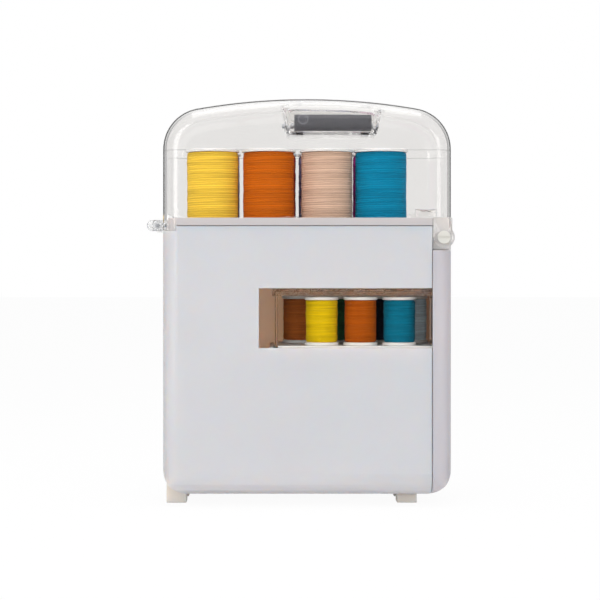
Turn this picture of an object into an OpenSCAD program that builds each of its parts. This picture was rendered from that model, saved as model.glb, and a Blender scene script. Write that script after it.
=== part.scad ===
// Thread storage box: a slim case with a clear hinged lid over large spools of thread on pegs,
// and a drawer that slides out of its right end with small spools behind a window.
// X runs along the case from the latch end to the hinge end, Y across it, Z up from the feet.
// Lengths along X are measured from the case's left face and moved to the frame at the end.

/* [Spools] */
// Diameter of a large spool's flanges
large_d = 35.5; // [34:0.5:37]
// Height of a large spool
large_h = 50; // [45:1:52]
// Number of large spools in each row under the lid
large_count = 4; // [4]
// Gap between large spools in a row
spool_gap = 1.6; // [1.2:0.1:2.4]
// Gap between the two rows of large spools
row_gap = 4.5; // [4:0.5:8]
// Diameter of a small spool's flanges
small_d = 22.5; // [21:0.5:23]
// Height of a small spool
small_h = 31.9; // [30:0.1:34]
// Gap between small spools in a row
small_gap = 3.2; // [2.4:0.1:3.6]
// Thickness of the spools' flanges
flange_t = 2; // [1.2:0.1:2.2]

/* [Case] */
// Length of the case to the left of the row of large spools
row_start = 13.25; // [12.5:0.25:16]
// Length of the case to the right of the row of large spools
row_end = 26.35; // [24:0.25:30]
// Width of the case beside the two rows of large spools
side_room = 7.25; // [7.25:0.25:10]
// Height of the feet under the case
foot_h = 7; // [6:0.5:8]
// Height of the shell's top edge above the floor
shell_top = 182.2; // [178:0.1:190]
// Height of the white rim on top of the shell
rim_h = 5.4; // [5.2:0.1:6]
// Thickness of the white walls
wall = 2.4; // [2:0.1:2.5]
// Radius of the two lower corners seen from the broad side
corner_r = 18; // [16:1:20]
// Radius of the upright edges
edge_r = 10; // [9:0.5:10]
// Radius of the long lower edges
keel_r = 15; // [13:1:16]

/* [Lid] */
// Thickness of the clear walls of the lid
lid_wall = 2.2; // [1.8:0.1:2.3]
// Radius of the long arc over the lid
crown_r = 417; // [405:1:430]
// Radius of the lid's two upper corners
shoulder_r = 27; // [25:1:28]
// Room between the large spools and the pocket for the handle
headroom = 9.9; // [9:0.1:14]
// Length of the pocket for the handle
pocket_l = 65.7; // [60:0.5:70]
// Width of the pocket
pocket_w = 44; // [42:1:50]
// Depth of the pocket from the top of the lid to its underside
pocket_depth = 22.2; // [22:0.1:24]
// Radius of the two hinge lugs
lug_r = 7; // [6.8:0.1:7.3]

/* [Drawer] */
// Length of the drawer's end panel, which is the case's right end
panel_l = 12.6; // [12.4:0.1:13]
// Height of the upper side of the lower shelf
low_shelf_z = 28.2; // [27:0.2:30]
// Height of the upper side of the upper shelf
high_shelf_z = 101.3; // [96:0.1:104]
// Thickness of the drawer's shelves
shelf_t = 2.2; // [1.8:0.1:2.4]
// Thickness of the clear bins
bin_wall = 1.6; // [1.2:0.1:1.7]

/* [Clearances] */
// Gap around a pin that turns in its bore
running = 0.05; // [0.02:0.01:0.1]
// Gap between parts that slide or lift past each other
slide = 0.3; // [0.3:0.05:0.4]

/* [Hidden] */
$fn = 96;
eps = 0.01;
// Case, whose length and width follow the large spools
large_pitch = large_d + spool_gap;
case_l = row_start + large_count * large_pitch + row_end;
case_w = 2 * large_d + row_gap + 2 * side_room;
half_w = case_w / 2;
rim_top = shell_top + rim_h;
shadow_gap = 0.5;
seam_x = case_l - panel_l - 0.4;
panel_x = case_l - panel_l;
foot_l = 13.1;
foot_w = 14;
foot_rise = 7;
foot_y = half_w - 36;
foot_left = 1.4;
foot_right = seam_x - 21.4;
// Lid hinge
pivot_x = case_l - 5.35;
pivot_z = shell_top - 7.15;
lug_t = 4;
lug_in = half_w - lug_t;
pin_r = 3;
pin_hold = 5.5;
pin_head_r = 4.2;
pin_head_t = 1.5;
pin_head_proud = 0.4;
slot_w = 1.2;
swing_r = 12.5;
// Top frame
skirt_in = wall + 0.9;
skirt_out = skirt_in + 2.6;
skirt_z = rim_top - 11.6;
tray_z = rim_top - 6.3;
ledge_t = 2;
ledge_in = skirt_out + 3.1;
beam_z = shell_top - 15.2;
beam_x = seam_x + 0.5;
beam_half_w = lug_in - slide;
beam_block_w = 11;
lug_gap_x = pivot_x - lug_r - 0.55;
rail_x0 = 14;
rail_x1 = seam_x - 4;
notch_x = 9;
notch_z = shell_top - 3.3;
// Lid
lid_z = rim_top + 0.2;
lid_skirt_z = notch_z + slide;
lid_skirt_x = notch_x - 0.5;
pad_x = case_l - 24;
// Steps of the lid's arcs and of its rounded edges
arc_steps = 12;
edge_steps = 6;
pad_z = lid_z + 5.6;
tray_t = 2;
large_z = tray_z + tray_t;
pocket_x = (case_l - pocket_l) / 2 + 16.55;
pocket_z = large_z + large_h + headroom;
pocket_wall = 2;
lid_top = pocket_z + pocket_depth;
crown_z = lid_top - crown_r;
shoulder_z = crown_z + sqrt(pow(crown_r - shoulder_r, 2) - pow(case_l / 2 - shoulder_r, 2));
shoulder_a = acos((case_l / 2 - shoulder_r) / (crown_r - shoulder_r));
// Latch
latch_x = -4;
latch_z = rim_top - 4.8;
latch_w = case_w - 30;
latch_r = 3.5;
latch_slot_top = lid_z + 2.2;
ear_t = 4;
ear_top = rim_top - 1.2;
ear_r = (ear_top - lid_skirt_z) / 2;
ear_y = latch_w / 2 + 0.5;
nose_x = -10.7;
latch_pin_r = 1.25;
tab_t = 2.4;
nib_x = skirt_in + 1.4;
// The object's middle along X, from the latch's nose to the hinge lugs
origin_x = -(nose_x + pivot_x + lug_r) / 2;
// Handle
handle_x0 = pocket_x + 8.3;
handle_x1 = pocket_x + pocket_l - 6.4;
handle_arm = 6;
handle_y = pocket_w / 2 - 10;
handle_z = pocket_z + 8.3;
handle_grip_y = -pocket_w / 2 + 8;
handle_h = 11.4;
handle_pin_r = 1.5;
handle_boss_r = 4;
handle_play = 0.4;
// Tray
tray_in = skirt_out + 0.4;
peg_r = 4;
peg_h = 20;
large_bore_r = peg_r + 0.1;
large_barrel_r = 8;
large_x = row_start + large_pitch / 2;
large_y = (large_d + row_gap) / 2;
// Two of the large spools stand further right than their row's pitch, near their neighbours
late_spools = [3, 6];
late_shift = spool_gap - slide;
// Drawer
panel_top = beam_z - 0.4;
shelf_w = case_w - 2 * (wall + 0.6);
runner_t = 2;
runner_w = 4;
runner_x0 = 6;
runner_x1 = seam_x - 3;
small_pitch = small_d + small_gap;
bin_x1 = case_l - 8.2;
bin_x0 = bin_x1 - 4 * small_pitch - 3.9;
bin_w = case_w - 14;
rack_t = 1.2;
rack_z = high_shelf_z + bin_wall;
small_z = rack_z + rack_t;
bin_top = small_z + small_h + 3.9;
bin_lid_t = 1.6;
bin_skirt = 3.1;
drawer_x = bin_x0 - 3.6;
back_t = 2.5;
plate_x = panel_x - 2.4;
plate_in = 3.8;
small_peg_r = 3;
small_peg_h = 14;
small_bore_r = small_peg_r + 0.1;
small_barrel_r = 5.5;
small_x_back = bin_x0 + 16;
small_x_front = small_x_back + 14.8;
small_y = bin_w / 2 - 18;
notions_h = high_shelf_z - shelf_t - low_shelf_z - 9.4;
notions_w = shelf_w - 6;
screw_r = 1.5;
screw_head_r = 3;
screw_head_t = 1.8;
screw_y = half_w - 15;
screw_low_z = low_shelf_z + 11.8;
screw_high_z = high_shelf_z - 13.3;
boss_r = 4;
grip_r = 1;
grip_h = 20;
grip_pitch = 6;
grip_z = screw_high_z - grip_h / 2;
// Window
window_margin = 6.8;
window_x = drawer_x - window_margin;
window_z = high_shelf_z + 1.9;
window_top = bin_top + 2;
// The drawer's back plate ends level with the window's lower edge
back_top = window_z;
// Windings
slope = 1;
large_thread_r = large_d / 2 - 0.5;
small_thread_r = small_d / 2 - 0.5;
turn_count = 22;
turn_steps = 16;
turn_w = 1.3;
turn_depth = 0.8;
turn_z0 = flange_t + slope + turn_w / 2;
turn_pitch = (large_h - 2 * turn_z0) / turn_count;
// Corners of one turn's section, as a radius and a height: the crest, then its upper and lower foot
turn_section = [
  [large_thread_r, 0], [large_thread_r - turn_depth, turn_w / 2], [large_thread_r - turn_depth, -turn_w / 2]
];
// The ring under the winding stays clear of the turns' flat stretches
turn_ring_r = (large_thread_r - turn_depth) * cos(180 / turn_steps) - 0.03;

// Moves a piece from the case's left face to the frame
module placed() {
  translate([origin_x, 0, 0]) children();
}

// A box between two corners
module span(x0, x1, y0, y1, z0, z1) {
  translate([x0, y0, z0]) cube([x1 - x0, y1 - y0, z1 - z0]);
}

// A box with the same part of it on the near and the far side
module both_sides(x0, x1, y0, y1, z0, z1) {
  span(x0, x1, y0, y1, z0, z1);
  span(x0, x1, -y1, -y0, z0, z1);
}

// A cylinder along Y between two values of Y
module rod_y(x, z, r, y0, y1) {
  translate([x, y1, z]) rotate([90, 0, 0]) cylinder(r = r, h = y1 - y0);
}

// A cylinder along X between two values of X
module rod_x(y, z, r, x0, x1) {
  translate([x0, y, z]) rotate([0, 90, 0]) cylinder(r = r, h = x1 - x0);
}

// A rectangle with two round lower corners
module tub_outline(w0, w1, base, top, r) {
  translate([w0 + r, base]) square([w1 - w0 - 2 * r, top - base]);
  translate([w0, base + r]) square([w1 - w0, top - base - r]);
  translate([w0 + r, base + r]) circle(r);
  translate([w1 - r, base + r]) circle(r);
}

// The case's plan at an inset from its outside
module plan(inset, z0, z1) {
  r = edge_r - inset;
  reach = case_l - 2 * inset;
  translate([inset, -half_w + inset, z0]) {
    translate([r, 0, 0]) cube([reach - 2 * r, case_w - 2 * inset, z1 - z0]);
    translate([0, r, 0]) cube([reach, case_w - 2 * inset - 2 * r, z1 - z0]);
    for (x = [r, reach - r]) {
      for (y = [r, case_w - 2 * inset - r]) {
        translate([x, y, 0]) cylinder(r = r, h = z1 - z0);
      }
    }
  }
}

// The case's outside, rounded along every edge below its top, at an inset
module pillow(inset, top) {
  intersection() {
    translate([0, half_w, 0])
      rotate([90, 0, 0])
        linear_extrude(case_w)
          tub_outline(inset, case_l - inset, foot_h + inset, top, corner_r - inset);
    rotate([90, 0, 90])
      linear_extrude(case_l)
        tub_outline(-half_w + inset, half_w - inset, foot_h + inset, top, keel_r - inset);
    plan(inset, foot_h, top);
  }
}

// Long ribs inside the shell that carry one shelf of the drawer
module runner(top) {
  both_sides(runner_x0, runner_x1, half_w - wall - runner_w, half_w - wall + 1, top - runner_t, top);
}

module main_shell() {
  color("gainsboro")
    placed() {
      difference() {
        pillow(0, shell_top);
        difference() {
          pillow(wall, shell_top + 1);
          runner(low_shelf_z - shelf_t - 0.1);
          runner(high_shelf_z - shelf_t - 0.1);
        }
        span(seam_x, case_l + 1, -half_w - 1, half_w + 1, 0, shell_top + 1);
        span(window_x, seam_x + 1, -half_w - 1, -half_w + wall + 1, window_z, window_top);
        span(-1, notch_x, -half_w - 1, half_w + 1, notch_z, shell_top + 1);
      }
    }
}

// The beam at the hinge end that holds the two hinge pins
module hinge_beam() {
  color("whitesmoke")
    placed()
      difference() {
        intersection() {
          plan(0, beam_z, rim_top);
          union() {
            span(case_l - skirt_out, case_l, -beam_half_w, beam_half_w, tray_z, rim_top);
            span(case_l - wall - 0.6, case_l, -beam_half_w, beam_half_w, beam_z, rim_top);
            span(beam_x, case_l, -beam_half_w, beam_half_w, beam_z, beam_z + ledge_t);
            both_sides(beam_x, case_l, half_w - skirt_out, beam_half_w, tray_z - ledge_t, rim_top);
            both_sides(beam_x, case_l, beam_half_w - beam_block_w, beam_half_w, beam_z, tray_z);
          }
        }
        difference() {
          span(pivot_x, case_l + 1, -half_w, half_w, pivot_z, rim_top + 1);
          rod_y(pivot_x, pivot_z, swing_r, -half_w, half_w);
        }
        for (side = [-1, 1]) {
          rod_y(pivot_x, pivot_z, pin_r, side * lug_in - pin_hold, side * lug_in + pin_hold);
        }
      }
}

// The rim on the shell with the skirt that drops inside it
module top_frame() {
  color("whitesmoke")
    placed()
      difference() {
        union() {
          plan(0, shell_top + shadow_gap, rim_top);
          plan(wall, skirt_z, rim_top);
        }
        plan(skirt_out, skirt_z - 1, rim_top + 1);
        difference() {
          span(-1, notch_x, -half_w - 1, half_w + 1, notch_z, rim_top + 1);
          plan(skirt_in, notch_z - 1, rim_top + 2);
        }
        span(skirt_in - 1, skirt_out + 1, -latch_w / 2 - 1, latch_w / 2 + 1, tray_z, rim_top + 1);
        both_sides(lug_gap_x, case_l + 1, beam_half_w, half_w + 1, skirt_z - 1, rim_top + 1);
        span(beam_x, case_l + 1, -half_w, half_w, skirt_z - 1, rim_top + 1);
      }
}

// A rail on the skirt that the tray rests on, near side for -1 and far side for 1
module tray_rail(side) {
  y0 = side * (half_w - ledge_in);
  y1 = side * (half_w - skirt_out);
  color("whitesmoke")
    placed()
      span(rail_x0, rail_x1, min(y0, y1), max(y0, y1), tray_z - ledge_t, tray_z);
}

// A foot that fits the shell's curved underside, at a place along the case
module foot(x, y0, y1) {
  color("lightgray")
    placed() {
      difference() {
        span(x, x + foot_l, y0, y1, 0, foot_h + foot_rise);
        pillow(-running, shell_top);
      }
    }
}

// A hinge pin with a slotted head, on the near side for -1 and the far side for 1
module hinge_pin(side) {
  head_y = half_w - pin_head_t;
  color("white")
    placed()
      scale([1, side, 1])
        difference() {
          union() {
            rod_y(pivot_x, pivot_z, pin_r, lug_in - pin_hold, head_y + eps);
            rod_y(pivot_x, pivot_z, pin_head_r, head_y, half_w + pin_head_proud);
          }
          span(
            pivot_x - pin_head_r - 1, pivot_x + pin_head_r + 1, half_w - slide, half_w + 1,
            pivot_z - slot_w / 2, pivot_z + slot_w / 2
          );
        }
}

// Points along an arc from one angle to another
function arc_points(cx, cz, r, a0, a1, steps) =
  [for (i = [0 : steps]) let (a = a0 + (a1 - a0) * i / steps) [cx + r * cos(a), cz + r * sin(a)]];

// One outline of the lid seen from the broad side, inset from its outside by a depth
function lid_outline(inset, base) = concat(
  [[inset, base], [case_l - inset, base]],
  arc_points(case_l - shoulder_r, shoulder_z, shoulder_r - inset, 0, shoulder_a, arc_steps),
  arc_points(case_l / 2, crown_z, crown_r - inset, shoulder_a, 180 - shoulder_a, arc_steps),
  arc_points(shoulder_r, shoulder_z, shoulder_r - inset, 180 - shoulder_a, 180, arc_steps)
);

// Inset of a rounded edge of radius r at a turn of t degrees from its face, and its depth
function edge_inset(r, t) = r * (1 - sin(t));
function edge_depth(r, t) = r * (1 - cos(t));

// The lid's outline swept across the case with rounded long edges, as one skin over its slices
module dome(inset, base) {
  r = edge_r - inset;
  half = half_w - inset;
  turns = [for (i = [0 : edge_steps]) i * 90 / edge_steps];
  near = [for (t = turns) [-half + edge_depth(r, t), inset + edge_inset(r, t)]];
  far = [for (i = [edge_steps : -1 : 0]) [half - edge_depth(r, turns[i]), inset + edge_inset(r, turns[i])]];
  slices = concat(near, far);
  rows = [for (s = slices) [for (p = lid_outline(s[1], base)) [p[0], s[0], p[1]]]];
  count = len(rows[0]);
  last = len(rows) - 1;
  points = [for (row = rows) for (p = row) p];
  sides = [
    for (k = [0 : last - 1]) for (i = [0 : count - 1])
      [k * count + i, k * count + (i + 1) % count, (k + 1) * count + (i + 1) % count, (k + 1) * count + i]
  ];
  near_cap = [for (i = [count - 1 : -1 : 0]) i];
  far_cap = [for (i = [0 : count - 1]) last * count + i];
  polyhedron(points = points, faces = concat([near_cap], sides, [far_cap]));
}

// The block around the handle's pocket and the space inside it
module pocket(inset, base) {
  span(
    pocket_x + inset, pocket_x + pocket_l - inset,
    -pocket_w / 2 + inset, pocket_w / 2 - inset, base, lid_top + 10
  );
}

module lid_dome() {
  color("lightcyan")
    placed()
      difference() {
        union() {
          difference() {
            dome(0, lid_skirt_z);
            difference() {
              dome(lid_wall, lid_skirt_z - 1);
              pocket(0, pocket_z);
            }
            span(lid_skirt_x, case_l + 1, -half_w - 1, half_w + 1, lid_skirt_z - 2, lid_z);
            pocket(pocket_wall, pocket_z + pocket_wall);
          }
          both_sides(pad_x, case_l, lug_in, half_w, lid_z, pad_z);
          both_sides(pivot_x - lug_r, case_l, lug_in, half_w, pivot_z, pad_z);
          for (y = [-half_w, lug_in]) {
            rod_y(pivot_x, pivot_z, lug_r, y, y + half_w - lug_in);
          }
          both_sides(nose_x + ear_r, lid_wall / 2, ear_y, ear_y + ear_t, lid_skirt_z, ear_top);
          for (y = [-ear_y - ear_t, ear_y]) {
            rod_y(nose_x + ear_r, lid_skirt_z + ear_r, ear_r, y, y + ear_t);
          }
          rod_x(handle_y, handle_z, handle_boss_r, pocket_x + 1, handle_x0 - handle_play);
          rod_x(handle_y, handle_z, handle_boss_r, handle_x1 + handle_play, pocket_x + pocket_l - 1);
        }
        for (side = [-1, 1]) {
          rod_y(pivot_x, pivot_z, pin_r + running, side * half_w - lug_t - 1, side * half_w + lug_t + 1);
        }
        rod_y(pivot_x, pivot_z, pin_head_r + 0.1, half_w - pin_head_t - 0.1, half_w + 1);
        rod_y(pivot_x, pivot_z, pin_head_r + 0.1, -half_w - 1, -half_w + pin_head_t + 0.1);
        rod_y(latch_x, latch_z, latch_pin_r, -half_w, half_w);
        span(-1, lid_wall + 1, -latch_w / 2 - slide, latch_w / 2 + slide, lid_skirt_z - 1, latch_slot_top);
        rod_x(handle_y, handle_z, handle_pin_r, pocket_x - 1, handle_x0);
        rod_x(handle_y, handle_z, handle_pin_r, handle_x1, pocket_x + pocket_l + 1);
      }
}

module carry_handle() {
  base = handle_z - handle_h / 2;
  color("dimgray")
    placed()
      difference() {
        union() {
          rod_x(handle_grip_y, handle_z, handle_h / 2, handle_x0, handle_x1);
          for (x = [handle_x0, handle_x1 - handle_arm]) {
            span(x, x + handle_arm, handle_grip_y, handle_y, base, base + handle_h);
            rod_x(handle_y, handle_z, handle_h / 2, x, x + handle_arm);
          }
        }
        for (x = [handle_x0, handle_x1 - handle_arm]) {
          rod_x(handle_y, handle_z, handle_pin_r + running, x - 1, x + handle_arm + 1);
        }
      }
}

module handle_pin_left() {
  color("silver") placed() rod_x(handle_y, handle_z, handle_pin_r, pocket_x, handle_x0 + handle_arm);
}

module handle_pin_right() {
  color("silver")
    placed() rod_x(handle_y, handle_z, handle_pin_r, handle_x1 - handle_arm, pocket_x + pocket_l);
}

module latch_tab() {
  half = latch_w / 2;
  color("azure")
    placed()
      difference() {
        union() {
          rod_y(latch_x, latch_z, latch_r, -half, half);
          span(nose_x + 0.6, latch_x, -half, half, latch_z - tab_t / 2, latch_z + tab_t / 2);
          span(latch_x, nib_x, -half, half, latch_z - tab_t / 3, latch_z + tab_t / 2);
        }
        rod_y(latch_x, latch_z, latch_pin_r + running, -half - 1, half + 1);
      }
}

module latch_pin() {
  reach = ear_y + ear_t;
  color("slategray") placed() rod_y(latch_x, latch_z, latch_pin_r, -reach, reach);
}

module spool_tray() {
  color("white")
    placed() {
      plan(tray_in, tray_z, tray_z + tray_t);
      for (i = [1 : 2 * large_count]) {
        translate([large_at(i)[0], large_at(i)[1], large_z - eps]) cylinder(r = peg_r, h = peg_h);
      }
    }
}

// The four places of the screws behind the drawer's end panel
module at_screws() {
  for (y = [-screw_y, screw_y]) {
    for (z = [screw_low_z, screw_high_z]) {
      translate([0, y, z]) children();
    }
  }
}

// A row of shallow upright grip ribs on the drawer's end panel
module grip() {
  for (i = [-3 : 3]) {
    translate([case_l - grip_r / 2, i * grip_pitch, grip_z]) cylinder(r = grip_r, h = grip_h);
  }
}

module drawer_front() {
  color("gainsboro")
    placed() {
      difference() {
        union() {
          difference() {
            intersection() {
              pillow(0, panel_top);
              span(panel_x, case_l + 1, -half_w, half_w, 0, panel_top);
            }
            pillow(wall, panel_top - wall);
          }
          at_screws() rod_x(0, 0, boss_r, panel_x, case_l - 1);
        }
        at_screws() rod_x(0, 0, screw_r, panel_x - 1, case_l - wall - 2);
      }
      grip();
    }
}

module drawer_frame() {
  half = shelf_w / 2;
  color("whitesmoke")
    placed()
      difference() {
        union() {
          span(drawer_x, panel_x, -half, half, low_shelf_z - shelf_t, low_shelf_z);
          span(drawer_x, panel_x, -half, half, high_shelf_z - shelf_t, high_shelf_z);
          span(drawer_x, drawer_x + back_t, -half + plate_in, half - plate_in, low_shelf_z - eps, back_top);
          span(plate_x, panel_x, -half + plate_in, half - plate_in, low_shelf_z - eps, high_shelf_z - 1);
        }
        at_screws() rod_x(0, 0, screw_r, plate_x - 1, panel_x + 1);
      }
}

// A clear open box
module bin(x0, x1, w, z0, z1) {
  difference() {
    span(x0, x1, -w / 2, w / 2, z0, z1);
    span(
      x0 + bin_wall, x1 - bin_wall,
      -w / 2 + bin_wall, w / 2 - bin_wall, z0 + bin_wall, z1 + 1
    );
  }
}

module spool_bin() {
  color("aliceblue") placed() bin(bin_x0, bin_x1, bin_w, high_shelf_z, bin_top);
}

module bin_lid() {
  out = slide + bin_wall;
  color("lightcyan")
    placed()
      difference() {
        span(
          bin_x0 - out, bin_x1 + out,
          -bin_w / 2 - out, bin_w / 2 + out, bin_top - bin_skirt, bin_top + bin_lid_t
        );
        span(
          bin_x0 - slide, bin_x1 + slide,
          -bin_w / 2 - slide, bin_w / 2 + slide, bin_top - bin_skirt - 1, bin_top
        );
      }
}

module bin_rack() {
  edge = bin_wall + slide;
  color("white")
    placed() {
      span(bin_x0 + edge, bin_x1 - edge, -bin_w / 2 + edge, bin_w / 2 - edge, rack_z, small_z);
      for (i = [1 : 7]) {
        translate([small_at(i)[0], small_at(i)[1], small_z - eps]) cylinder(r = small_peg_r, h = small_peg_h);
      }
    }
}

module notions_bin() {
  color("aliceblue") placed() bin(bin_x0, plate_x - 2.6, notions_w, low_shelf_z, low_shelf_z + notions_h);
}

// A screw that holds the drawer's end panel to its frame
module front_screw(y, z) {
  color("silver")
    placed() {
      rod_x(y, z, screw_r, plate_x - eps, case_l - wall - 3);
      rod_x(y, z, screw_head_r, plate_x - screw_head_t, plate_x);
    }
}

// A spool's core: a barrel between two flanges with a bore through it
module core(x, y, z, h, r, barrel_r, bore_r) {
  color("white")
    placed()
      translate([x, y, z])
        difference() {
          union() {
            cylinder(r = r, h = flange_t);
            cylinder(r = barrel_r, h = h);
            translate([0, 0, h - flange_t]) cylinder(r = r, h = flange_t);
          }
          translate([0, 0, -1]) cylinder(r = bore_r, h = h + 2);
        }
}

// The plain thread on a core: a ring with softly sloping ends
module thread_ring(h, r, barrel_r) {
  difference() {
    union() {
      translate([0, 0, flange_t]) cylinder(r1 = r - slope, r2 = r, h = slope);
      translate([0, 0, flange_t + slope]) cylinder(r = r, h = h - 2 * (flange_t + slope));
      translate([0, 0, h - flange_t - slope]) cylinder(r1 = r, r2 = r - slope, h = slope);
    }
    translate([0, 0, flange_t - 1]) cylinder(r = barrel_r + running, h = h);
  }
}

// Thread drawn as a plain ring, for the spools that stand behind others
module thread(x, y, z, h, r, barrel_r, shade) {
  color(shade) placed() translate([x, y, z]) thread_ring(h, r, barrel_r);
}

// One corner of the winding at a step along its helix
function turn_point(i, k) =
  let (a = 360 * i / turn_steps, c = turn_section[k])
    [c[0] * cos(a), c[0] * sin(a), turn_z0 + turn_pitch * i / turn_steps + c[1]];

// The outer layer of thread on a large spool: one unbroken tube of turns over a plain ring
module winding() {
  last = turn_count * turn_steps;
  points = [for (i = [0 : last]) for (k = [0 : 2]) turn_point(i, k)];
  sides = [
    for (i = [0 : last - 1]) for (k = [0 : 2])
      let (a = 3 * i + k, b = 3 * i + (k + 1) % 3)
        each [[a, b, b + 3], [a, b + 3, a + 3]]
  ];
  polyhedron(points = points, faces = concat([[2, 1, 0]], sides, [[3 * last, 3 * last + 1, 3 * last + 2]]));
}

// Least gap between neighbouring turns of the winding, measured on its points
turn_gaps = [
  for (i = [0 : turn_steps]) for (j = [-1 : 1]) for (a = [0 : 2]) for (b = [0 : 2])
    norm(turn_point(i, a) - turn_point(i + turn_steps + j, b))
];
echo(least_gap_between_turns_mm = min(turn_gaps));

// Large spools 1 to 4 stand in the near row and 5 to 8 in the far row
function large_at(i) = [
  large_x + large_pitch * ((i - 1) % large_count) + (len(search(i, late_spools)) > 0 ? late_shift : 0),
  i > large_count ? large_y : -large_y
];

module large_core(i) {
  core(large_at(i)[0], large_at(i)[1], large_z, large_h, large_d / 2, large_barrel_r, large_bore_r);
}

module large_thread(i, shade) {
  thread(large_at(i)[0], large_at(i)[1], large_z, large_h, large_thread_r, large_barrel_r, shade);
}

module wound_thread(i, shade) {
  color(shade)
    placed()
      translate([large_at(i)[0], large_at(i)[1], large_z]) {
        thread_ring(large_h, turn_ring_r, large_barrel_r);
        winding();
      }
}

// Small spools 1 to 3 stand in the near row and 4 to 7 in the far row
function small_at(i) = i > 3
  ? [small_x_back + small_pitch * (i - 4), small_y]
  : [small_x_front + small_pitch * (i - 1), -small_y];

module small_core(i) {
  core(small_at(i)[0], small_at(i)[1], small_z, small_h, small_d / 2, small_barrel_r, small_bore_r);
}

module small_thread(i, shade) {
  thread(small_at(i)[0], small_at(i)[1], small_z, small_h, small_thread_r, small_barrel_r, shade);
}

main_shell();
top_frame();
hinge_beam();
tray_rail(-1);  // tray_rail_near
tray_rail(1);  // tray_rail_far
foot(foot_left, -foot_y - foot_w, -foot_y);  // foot_near_left
foot(foot_right, -foot_y - foot_w, -foot_y);  // foot_near_right
foot(foot_left, foot_y, foot_y + foot_w);  // foot_far_left
foot(foot_right, foot_y, foot_y + foot_w);  // foot_far_right
hinge_pin(-1);  // hinge_pin_near
hinge_pin(1);  // hinge_pin_far
lid_dome();
carry_handle();
handle_pin_left();
handle_pin_right();
latch_tab();
latch_pin();
spool_tray();
drawer_front();
drawer_frame();
spool_bin();
bin_lid();
bin_rack();
notions_bin();
front_screw(-screw_y, screw_low_z);  // front_screw_1
front_screw(screw_y, screw_low_z);  // front_screw_2
front_screw(-screw_y, screw_high_z);  // front_screw_3
front_screw(screw_y, screw_high_z);  // front_screw_4
large_core(1);  // large_core_1
large_core(2);  // large_core_2
large_core(3);  // large_core_3
large_core(4);  // large_core_4
large_core(5);  // large_core_5
large_core(6);  // large_core_6
large_core(7);  // large_core_7
large_core(8);  // large_core_8
wound_thread(1, "goldenrod");  // large_thread_1
wound_thread(2, "darkorange");  // large_thread_2
wound_thread(3, "tan");  // large_thread_3
wound_thread(4, "teal");  // large_thread_4
large_thread(5, "navy");  // large_thread_5
large_thread(6, "crimson");  // large_thread_6
large_thread(7, "slateblue");  // large_thread_7
large_thread(8, "mediumvioletred");  // large_thread_8
small_core(1);  // small_core_1
small_core(2);  // small_core_2
small_core(3);  // small_core_3
small_core(4);  // small_core_4
small_core(5);  // small_core_5
small_core(6);  // small_core_6
small_core(7);  // small_core_7
small_thread(1, "gold");  // small_thread_1
small_thread(2, "chocolate");  // small_thread_2
small_thread(3, "darkcyan");  // small_thread_3
small_thread(4, "saddlebrown");  // small_thread_4
small_thread(5, "darkgreen");  // small_thread_5
small_thread(6, "midnightblue");  // small_thread_6
small_thread(7, "lightsteelblue");  // small_thread_7
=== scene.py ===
# %% [markdown]
# # A thread storage box, dressed for the camera
#
# The construction model is the frame: it gives every piece its size, its place and the body
# that it moves with. This script adds what a construction model leaves out: the soft roundings
# of moulded plastic, thread wound turn by turn, clear plastic that bends light, and a studio.
# All lengths are in metres in the frame's own axes: X along the case from the latch to the
# hinge, Y away from the camera, Z up.

# %% [markdown]
# ## The frame
#
# The imported construction model is loaded first. It holds every node as a mesh in its true
# place, and the bodies that move. Building the box again by eye would let the looks drift away
# from the model and its joints, so the script only dresses and replaces.

# %% Frame
import math

import bpy
import numpy as np
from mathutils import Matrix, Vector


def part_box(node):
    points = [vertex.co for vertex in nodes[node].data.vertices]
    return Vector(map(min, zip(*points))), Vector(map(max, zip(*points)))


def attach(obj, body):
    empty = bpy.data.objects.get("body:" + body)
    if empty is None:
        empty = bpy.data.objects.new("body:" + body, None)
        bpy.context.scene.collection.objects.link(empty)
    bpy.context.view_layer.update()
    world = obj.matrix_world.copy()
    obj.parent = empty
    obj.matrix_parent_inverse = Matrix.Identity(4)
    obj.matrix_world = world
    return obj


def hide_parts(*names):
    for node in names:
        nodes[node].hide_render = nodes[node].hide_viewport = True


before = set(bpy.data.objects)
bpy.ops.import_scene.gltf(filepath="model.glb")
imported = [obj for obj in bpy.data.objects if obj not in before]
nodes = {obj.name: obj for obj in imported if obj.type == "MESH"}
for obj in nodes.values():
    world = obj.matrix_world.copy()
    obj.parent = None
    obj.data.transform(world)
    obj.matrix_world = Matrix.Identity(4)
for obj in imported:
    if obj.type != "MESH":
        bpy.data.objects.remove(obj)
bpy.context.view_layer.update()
MM = 0.001

# %% [markdown]
# ## Camera
#
# The photograph looks square at the broad side from a little over a metre away. The vanishing
# point lies left of the picture's middle and above it, so a small shift frames the object the
# way the photograph does while the camera stays level.

# %% Camera
shell_low, shell_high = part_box("main_shell")
left_face = shell_low[0]
near_face = shell_low[1]
VIEW_DISTANCE = 1.110
EYE_FROM_LEFT = 0.0777
EYE_HEIGHT = 0.1549
SENSOR = 36.0
FIELD_AT_FACE = 0.3885
SHIFT_RIGHT = 0.030
SHIFT_UP = -0.053
cam_data = bpy.data.cameras.new("camera")
cam_data.sensor_width = SENSOR
cam_data.lens = SENSOR * VIEW_DISTANCE / FIELD_AT_FACE
cam_data.shift_x = SHIFT_RIGHT
cam_data.shift_y = SHIFT_UP
camera = bpy.data.objects.new("camera", cam_data)
camera.location = (left_face + EYE_FROM_LEFT, near_face - VIEW_DISTANCE, EYE_HEIGHT)
camera.rotation_euler = (math.radians(90), 0, 0)
bpy.context.collection.objects.link(camera)
bpy.context.scene.camera = camera
print("lens", round(cam_data.lens, 1))

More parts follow.
